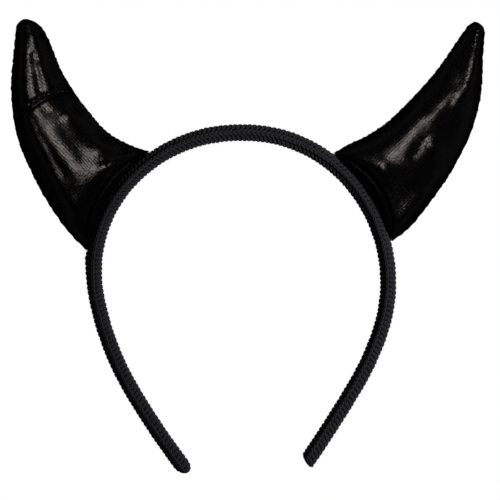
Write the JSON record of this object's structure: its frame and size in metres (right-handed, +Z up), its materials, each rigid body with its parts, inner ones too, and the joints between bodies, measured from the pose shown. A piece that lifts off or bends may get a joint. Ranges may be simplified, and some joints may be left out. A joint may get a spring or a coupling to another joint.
{
  "type": "devil horns headband",
  "caption": "Knit-covered springy hoop headband with two stuffed glossy cloth devil horns, lying on its back.",
  "frame": {"origin": "middle of the whole thing's box, on the surface that it lies on", "axes": "+X across the headband from the left horn to the right horn, +Y from the leg tips to the crown and horn tips, +Z up from the surface"},
  "size_m": [0.2084, 0.2, 0.0238],
  "materials": {
    "knit_cover": "matte knitted yarn",
    "horn_fabric": "glossy foil-coated cloth"
  },
  "bodies": {
    "root": {"headband": "knit_cover", "left_horn": "horn_fabric", "right_horn": "horn_fabric", "left_horn_base": "horn_fabric", "right_horn_base": "horn_fabric"}
  },
  "joints": []
}
